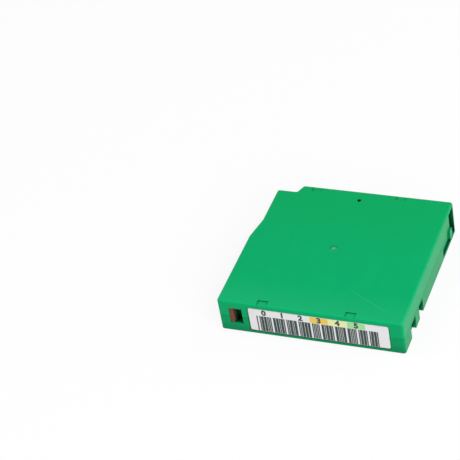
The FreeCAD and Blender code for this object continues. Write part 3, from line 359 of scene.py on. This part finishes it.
GREEN = (0.0, 0.392, 0.132)
GREEN_GLOSS = dict(ior=1.33, gloss=(0.0, 1.0, 0.7))
# Painted shade: the bottom shell gets the top shell's green darkened, standing in for the lower half's
# shade.
SHADED_LOWER_GREEN = shade(GREEN, 0.81)
# Painted shade: the door gets the shell green darkened, for the shade in its opening.
SHADED_DOOR_GREEN = shade(GREEN, 0.92)
# Painted shade for the leading end of the top.
LEADING_SHADE_GREEN = (0.0, 0.380, 0.104)
# Painted highlight for the rear of the top face.
REAR_HIGHLIGHT_GREEN = (0.010, 0.428, 0.160)
# Stress-whitened green, also spread as a painted highlight over the gate dish.
WHITENED_AND_HIGHLIGHT_GREEN = (0.085, 0.52, 0.23)
# Painted shade along the foot of the label end.
FOOT_SHADE_GREEN = shade(SHADED_LOWER_GREEN, 0.62)
STEEL = (0.56, 0.55, 0.54)

GATE = (-1.8 * MM, 0.9 * MM)
RUB_START, RUB_END = (15.0 * MM, -28.5 * MM), (45.0 * MM, -45.2 * MM)


def top_wear(g, colour):
    """Painted shade: deeper green towards the leading end. Painted highlight: paler towards the rear of
    the top face. Stress-whitened plastic where the moulding gate was cut off, spread wide as a painted
    highlight over the gate dish, and one long faint rub mark."""
    _, y, z = g.axes()
    # Painted shade: deeper green towards the leading end.
    colour = g.mix(g.remap(y, 0.0, 36 * MM, 0.0, 0.8), colour, LEADING_SHADE_GREEN)
    top_face = g.remap(z, 20.0 * MM, 21.2 * MM)
    # Painted highlight: paler green towards the rear of the top face.
    rear_highlight = g.math("MULTIPLY", g.remap(y, -30 * MM, -50 * MM, 0.0, 0.7), top_face)
    colour = g.mix(rear_highlight, colour, REAR_HIGHLIGHT_GREEN)
    # Stress-whitened gate, widened into a painted highlight that covers the gate dish's shade; the rub
    # mark is wear.
    gate = g.math("MULTIPLY", g.spot(*GATE, 1.4 * MM, 0.9 * MM), 0.8)
    rub = g.math("MULTIPLY", g.streak(RUB_START, RUB_END, 0.7 * MM), 0.14)
    return g.mix(g.math("MAXIMUM", gate, rub), colour, WHITENED_AND_HIGHLIGHT_GREEN)


def lower_wear(g, colour):
    """Painted shade: darker green along the foot of the label end, next to the floor."""
    _, y, z = g.axes()
    low = g.remap(z, 6.5 * MM, 1.0 * MM)
    rear = g.remap(y, -49.5 * MM, -50.7 * MM)
    return g.mix(g.math("MULTIPLY", g.math("MULTIPLY", low, rear), 0.8), colour, FOOT_SHADE_GREEN)


looks = {
    "bottom_shell": moulded("lower_green", SHADED_LOWER_GREEN, **GREEN_GLOSS, recess=0.93, marks=lower_wear),
    "top_shell": moulded("upper_green", GREEN, **GREEN_GLOSS, recess=0.93, marks=top_wear),
    # Door: painted shade from its darker green and from the recess darkening.
    "door": moulded("door_green", SHADED_DOOR_GREEN, **GREEN_GLOSS, roughness=0.38, grain_depth=0.009 * MM,
                    recess=0.35, open_from=0.76),
    "barcode_label": label_film(),
    "write_protect_slider": moulded("slider_red", (0.215, 0.078, 0.043), roughness=0.40, ior=1.35,
                                    tint=(0.6, 0.35, 0.30)),
    "reel_hub": moulded("hub_grey", (0.50, 0.51, 0.50), roughness=0.45, ior=1.4, mottle=0.03, worn=0.05),
    "upper_flange": natural_plastic(),
    "tape_pack": wound_tape(),
    "tape_leader": leader_film(),
    "brake_button": moulded("brake_white", (0.74, 0.74, 0.70), roughness=0.40, ior=1.4, worn=0.0),
    "release_pad": moulded("pad_white", (0.70, 0.70, 0.66), roughness=0.42, ior=1.4, worn=0.0),
    "coupling_plate": metal("coupling_steel", STEEL, 0.34, (1.0, 9.0, 1.0)),
    "shell_screws": metal("screw_steel", (0.42, 0.42, 0.43), 0.38, (1.0, 1.0, 5.0), 0.2 * MM),
    "leader_pin": metal("pin_steel", (0.62, 0.61, 0.60), 0.22, (1.0, 1.0, 0.15), 0.2 * MM),
    "pin_clamp": moulded("clamp_white", (0.70, 0.71, 0.69), roughness=0.36, ior=1.4, worn=0.0),
    "pin_spring_lower": metal("hairpin_steel", (0.55, 0.54, 0.52), 0.28, (0.3, 1.0, 1.0), 0.2 * MM),
    "memory_board": circuit_board(),
    "memory_aerial": metal("aerial_copper", (0.72, 0.38, 0.20), 0.30, grain=0.2 * MM),
    "memory_chip": moulded("chip_black", (0.022, 0.022, 0.024), roughness=0.48, ior=1.45, worn=0.05),
}
looks["pin_spring_upper"] = looks["pin_spring_lower"]


def set_material(piece, material):
    piece.data.materials.clear()
    piece.data.materials.append(material)


for name, material in looks.items():
    set_material(nodes[name], material)


# ---------------------------------------------------------------- pieces

def finish_piece(name, mesh, material, body):
    """A visible piece of that mesh and material, riding on a body."""
    piece = bpy.data.objects.new(name, mesh)
    scene.collection.objects.link(piece)
    set_material(piece, material)
    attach(piece, body)
    return piece


def new_piece(name, build, material, body):
    """A visible piece whose faces build(bm) adds."""
    bm = bmesh.new()
    build(bm)
    mesh = bpy.data.meshes.new(name)
    bm.to_mesh(mesh)
    bm.free()
    return finish_piece(name, mesh, material, body)


DEAD_TURNS = 1.0


def coil(bm, radius, wire, turns, low, high, place, sides, steps):
    """Helical spring between low and high along the local Z axis, put in place by a matrix. Its wire has
    a radius, and its end turns lie closed. sides goes round the wire and steps round a turn."""
    rings = []
    first, last = low + wire, high - wire
    pitch = (last - first - 2 * DEAD_TURNS * 2 * wire) / (turns - 2 * DEAD_TURNS)
    for i in range(turns * steps + 1):
        turn = i / steps
        tight = min(turn, DEAD_TURNS) + max(0.0, turn - (turns - DEAD_TURNS))
        z = first + tight * 2 * wire + (turn - tight) * pitch
        angle = turn * 2 * math.pi
        out = Vector((math.cos(angle), math.sin(angle), 0.0))
        ring = []
        for k in range(sides):
            roll = 2 * math.pi * k / sides
            point = out * (radius + wire * math.cos(roll)) + Vector((0, 0, z + wire * math.sin(roll)))
            ring.append(bm.verts.new(place @ point))
        rings.append(ring)
    for a, b in zip(rings, rings[1:]):
        for k in range(sides):
            face = bm.faces.new((a[k], b[k], b[k - 1], a[k - 1]))
            face.smooth = True
    bm.faces.new(rings[0])
    bm.faces.new(reversed(rings[-1]))
    bmesh.ops.recalc_face_normals(bm, faces=bm.faces)


wire_steel = metal("spring_wire", (0.52, 0.51, 0.50), 0.26, grain=0.15 * MM)

door_low, door_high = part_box("door_spring")
door_axis = ((door_low.x + door_high.x) / 2, (door_low.z + door_high.z) / 2)
along_y = Matrix.Translation((door_axis[0], 0.0, door_axis[1])) @ Matrix.Rotation(-math.pi / 2, 4, "X")
DOOR_WIRE = 0.15 * MM
DOOR_TURNS = 16
door_radius = (door_high.x - door_low.x) / 2 - DOOR_WIRE


def door_turns(bm):
    coil(bm, door_radius, DOOR_WIRE, DOOR_TURNS, door_low.y, door_high.y, along_y, sides=8, steps=24)


door_coil = new_piece("door_spring_coil", door_turns, wire_steel, "case")
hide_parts("door_spring")
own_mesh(door_coil)

brake_low, brake_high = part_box("brake_spring")
BRAKE_WIRE = 0.4 * MM
BRAKE_TURNS = 6
brake_radius = (brake_high.x - brake_low.x) / 2 - BRAKE_WIRE


def brake_turns(bm):
    coil(bm, brake_radius, BRAKE_WIRE, BRAKE_TURNS, brake_low.z, brake_high.z, Matrix.Identity(4),
         sides=10, steps=36)


brake_coil = new_piece("brake_spring_coil", brake_turns, wire_steel, "case")
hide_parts("brake_spring")
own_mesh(brake_coil)


# ---------------------------------------------------------------- label print

label_low, label_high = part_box("barcode_label")
LABEL_FACE = label_low.y
INK = 0.015 * MM
CORNER_STEPS = 4
black_ink = printed("black_ink", (0.020, 0.050, 0.044))


def panel(bm, x0, x1, z0, z1, corner=0.0):
    """Thin printed patch on the label's face, with rounded corners where corner is set."""
    outline = []
    if corner:
        for cx, cz, start in ((x1 - corner, z0 + corner, 270), (x1 - corner, z1 - corner, 0),
                              (x0 + corner, z1 - corner, 90), (x0 + corner, z0 + corner, 180)):
            for step in range(CORNER_STEPS + 1):
                angle = math.radians(start + step * 90 / CORNER_STEPS)
                outline.append((cx + corner * math.cos(angle), cz + corner * math.sin(angle)))
    else:
        outline = [(x0, z0), (x1, z0), (x1, z1), (x0, z1)]
    front = [bm.verts.new((x, LABEL_FACE - INK, z)) for x, z in outline]
    back = [bm.verts.new((x, LABEL_FACE + INK / 3, z)) for x, z in outline]
    bm.faces.new(front)
    bm.faces.new(reversed(back))
    for i in range(len(outline)):
        bm.faces.new((front[i], front[i - 1], back[i - 1], back[i]))
    bmesh.ops.recalc_face_normals(bm, faces=bm.faces)


# Bars and spaces of each sign in turn, n narrow and w wide. WIDE and INK_SPREAD are in narrow bars.
SIGNS = {
    "start": "nwnnwnwnn", "0": "nnnwwnwnn", "1": "wnnwnnnnw", "2": "nnwwnnnnw", "3": "wnwwnnnnn",
    "4": "nnnwwnnnw", "5": "wnnwwnnnn", "6": "nnwwwnnnn", "7": "nnnwnnwnw",
}
CODE = ["start", "0", "1", "2", "3", "4", "5", "6", "7", "start"]
BARS_LEFT, BARS_RIGHT = -30.6 * MM, 38.2 * MM
WIDE = 2.75
INK_SPREAD = 0.55


def bar_edges():
    """Left and right edge of each printed bar, in metres."""
    length = sum(WIDE if mark == "w" else 1.0 for sign in CODE for mark in SIGNS[sign]) + len(CODE) - 1
    unit = (BARS_RIGHT - BARS_LEFT) / length
    at = BARS_LEFT
    for sign in CODE:
        for index, mark in enumerate(SIGNS[sign]):
            width = unit * (WIDE if mark == "w" else 1.0)
            if index % 2 == 0:
                yield at - unit * INK_SPREAD / 2, at + width + unit * INK_SPREAD / 2
            at += width
        at += unit


BARS_BOTTOM, BARS_TOP = label_low.z + 0.15 * MM, 13.35 * MM


def all_bars(bm):
    for left, right in bar_edges():
        panel(bm, left, right, BARS_BOTTOM, BARS_TOP)


new_piece("label_bars", all_bars, black_ink, "case")

CELL_PITCH = 10.5 * MM
CELL_LEFT = -31.4 * MM
CELL_GAP = 0.3 * MM
CELL_CORNER = 0.3 * MM
CELLS_BOTTOM, CELLS_TOP = 13.6 * MM, label_high.z - 0.35 * MM
CELL_INKS = {
    "cell_white": (0.88, 0.88, 0.88),
    "cell_amber": (0.92, 0.62, 0.09),
    "cell_yellow": (0.86, 0.92, 0.42),
    "cell_green": (0.38, 0.78, 0.34),
}
CELLS = ["cell_white", "cell_white", "cell_white", "cell_amber", "cell_yellow", "cell_green"]
inks = {name: printed(name, colour, 0.06) for name, colour in CELL_INKS.items()}

DIGIT_HEIGHT = 3.7 * MM
DIGIT_LIFT = 1.6 * INK
FONT_HEIGHT = 0.73
BOLDER = 0.07


def digit(name, text, centre_x, centre_z):
    """Printed digit as a thin mesh on the label's face, its strokes thickened."""
    curve = bpy.data.curves.new(name + "_outline", "FONT")
    curve.body = text
    curve.size = DIGIT_HEIGHT / FONT_HEIGHT
    curve.align_x, curve.align_y = "CENTER", "CENTER"
    curve.extrude = INK / 2
    curve.offset = DIGIT_HEIGHT * BOLDER
    curve.resolution_u = 4
    outline = bpy.data.objects.new(name + "_outline", curve)
    scene.collection.objects.link(outline)
    bpy.context.view_layer.update()
    mesh = bpy.data.meshes.new_from_object(outline.evaluated_get(bpy.context.evaluated_depsgraph_get()))
    bpy.data.objects.remove(outline)
    upright = Matrix.Rotation(math.pi / 2, 4, "X")
    mesh.transform(Matrix.Translation((centre_x, LABEL_FACE - DIGIT_LIFT, centre_z)) @ upright)
    finish_piece(name, mesh, black_ink, "case")


def cell(bm, left):
    """Coloured cell behind one digit."""
    panel(bm, left + CELL_GAP / 2, left + CELL_PITCH - CELL_GAP / 2, CELLS_BOTTOM, CELLS_TOP, CELL_CORNER)


for index, ink in enumerate(CELLS):
    left = CELL_LEFT + index * CELL_PITCH
    new_piece(f"label_cell_{index + 1}", lambda bm: cell(bm, left), inks[ink], "case")
    digit(f"label_digit_{index + 1}", str(index), left + CELL_PITCH / 2, (CELLS_BOTTOM + CELLS_TOP) / 2)


# ---------------------------------------------------------------- studio

FLOOR_RADIUS, SWEEP_RADIUS, WALL_TOP = 2.2, 0.5, 0.85
FLOOR_SECTORS, SWEEP_STEPS = 96, 12
FLOOR_GAP = 0.05 * MM
CARD_WHITE = 0.93
CARD_GLOW = 0.86


def studio():
    """Round floor that sweeps up into a low wall, pale and seamless."""
    profile = [(FLOOR_RADIUS, 0.0)]
    for step in range(1, SWEEP_STEPS + 1):
        angle = math.radians(step * 90 / SWEEP_STEPS)
        reach = FLOOR_RADIUS + SWEEP_RADIUS * math.sin(angle)
        profile.append((reach, SWEEP_RADIUS * (1 - math.cos(angle))))
    profile.append((FLOOR_RADIUS + SWEEP_RADIUS, WALL_TOP))
    bm = bmesh.new()
    centre = bm.verts.new((0, 0, 0))
    turns = [2 * math.pi * k / FLOOR_SECTORS for k in range(FLOOR_SECTORS)]
    loops = [[bm.verts.new((reach * math.cos(turn), reach * math.sin(turn), height)) for turn in turns]
             for reach, height in profile]
    for k in range(FLOOR_SECTORS):
        bm.faces.new((centre, loops[0][k - 1], loops[0][k]))
        for a, b in zip(loops, loops[1:]):
            bm.faces.new((a[k], a[k - 1], b[k - 1], b[k]))
    for face in bm.faces:
        face.smooth = True
    bmesh.ops.recalc_face_normals(bm, faces=bm.faces)
    bm.faces.ensure_lookup_table()
    if bm.faces[0].normal.z < 0:
        bmesh.ops.reverse_faces(bm, faces=bm.faces)
    mesh = bpy.data.meshes.new("studio_floor")
    bm.to_mesh(mesh)
    bm.free()
    floor = bpy.data.objects.new("studio_floor", mesh)
    scene.collection.objects.link(floor)
    floor.location.z = -FLOOR_GAP
    floor.visible_diffuse = False
    floor.visible_shadow = False
    return floor


def studio_surface():
    """White to the camera and in reflections, with enough plain diffuse left to carry the shadow, and
    clear from behind, so that views from below see the object."""
    material = bpy.data.materials.new("studio_white")
    material.use_nodes = True
    tree = material.node_tree
    tree.nodes.clear()
    add, link = tree.nodes.new, tree.links.new

    def combine(operation, first, second):
        node = add("ShaderNodeMath")
        node.operation = operation
        link(first, node.inputs[0])
        if isinstance(second, bpy.types.NodeSocket):
            link(second, node.inputs[1])
        else:
            node.inputs[1].default_value = second
        return node.outputs["Value"]

    def blend(factor, first, second):
        node = add("ShaderNodeMixShader")
        link(factor, node.inputs["Fac"])
        link(first, node.inputs[1])
        link(second, node.inputs[2])
        return node.outputs["Shader"]

    diffuse = add("ShaderNodeBsdfDiffuse")
    diffuse.inputs["Color"].default_value = (CARD_WHITE, CARD_WHITE, CARD_WHITE, 1.0)
    glow = add("ShaderNodeEmission")
    glow.inputs["Color"].default_value = (1.0, 1.0, 1.0, 1.0)
    glow.inputs["Strength"].default_value = 1.0
    path = add("ShaderNodeLightPath").outputs
    seen = combine("MAXIMUM", path["Is Camera Ray"], path["Is Glossy Ray"])
    seen = combine("MAXIMUM", seen, path["Is Transmission Ray"])
    front = blend(combine("MULTIPLY", seen, CARD_GLOW), diffuse.outputs["BSDF"], glow.outputs["Emission"])
    from_behind = add("ShaderNodeNewGeometry").outputs["Backfacing"]
    clear = add("ShaderNodeBsdfTransparent").outputs["BSDF"]
    output = add("ShaderNodeOutputMaterial")
    link(blend(from_behind, front, clear), output.inputs["Surface"])
    return material


floor = studio()
set_material(floor, studio_surface())

WORLD_LEVEL = 0.38
world = bpy.data.worlds.new("studio_world")
world.use_nodes = True
background = world.node_tree.nodes["Background"]
background.inputs["Color"].default_value = (1.0, 1.0, 1.0, 1.0)
background.inputs["Strength"].default_value = WORLD_LEVEL
scene.world = world


def direction(azimuth, elevation):
    """Unit vector towards that side. Azimuth 0 is the rear, -Y, and 90 the right side, +X."""
    a, e = math.radians(azimuth), math.radians(elevation)
    return Vector((math.sin(a) * math.cos(e), -math.cos(a) * math.cos(e), math.sin(e)))


LAMP_DISTANCE = 1.6


def softbox(name, azimuth, elevation, level, size):
    """Square lamp that gives a white surface facing it that level."""
    lamp = bpy.data.lights.new(name, "AREA")
    lamp.shape = "SQUARE"
    lamp.size = size
    lamp.energy = level * math.pi ** 2 * LAMP_DISTANCE ** 2
    holder = bpy.data.objects.new(name, lamp)
    scene.collection.objects.link(holder)
    towards = direction(azimuth, elevation)
    holder.location = towards * LAMP_DISTANCE
    holder.rotation_mode = "QUATERNION"
    holder.rotation_quaternion = towards.to_track_quat("Z", "Y")


softbox("key_softbox", 44, 35, 1.00, 1.5)
softbox("left_softbox", 270, 45, 0.20, 1.3)
softbox("front_softbox", 150, 30, 0.22, 1.3)
softbox("right_softbox", 100, 5, 0.12, 1.3)


# ---------------------------------------------------------------- camera

AZIMUTH, ELEVATION, ROLL = 27.129, 39.530, -11.113
DISTANCE = 1074.5 * MM
ASIDE, ABOVE = 60.296 * MM, -19.163 * MM
FOCAL_LENGTH, SENSOR_WIDTH = 151.34, 36.0

back = direction(AZIMUTH, ELEVATION)
level_right = Vector((0, 0, 1)).cross(back).normalized()
level_up = back.cross(level_right)
roll = math.radians(ROLL)
right = level_right * math.cos(roll) + level_up * math.sin(roll)
up = level_up * math.cos(roll) - level_right * math.sin(roll)
middle = (cad_box[0] + cad_box[1]) / 2
standpoint = middle + back * DISTANCE - right * ASIDE - up * ABOVE

lens = bpy.data.cameras.new("photo_camera")
lens.lens = FOCAL_LENGTH
lens.sensor_width = SENSOR_WIDTH
lens.clip_start = 0.05
lens.clip_end = 20.0
camera = bpy.data.objects.new("photo_camera", lens)
scene.collection.objects.link(camera)
camera.matrix_world = Matrix.Translation(standpoint) @ Matrix((right, up, back)).transposed().to_4x4()
scene.camera = camera

scene.view_settings.view_transform = "Standard"
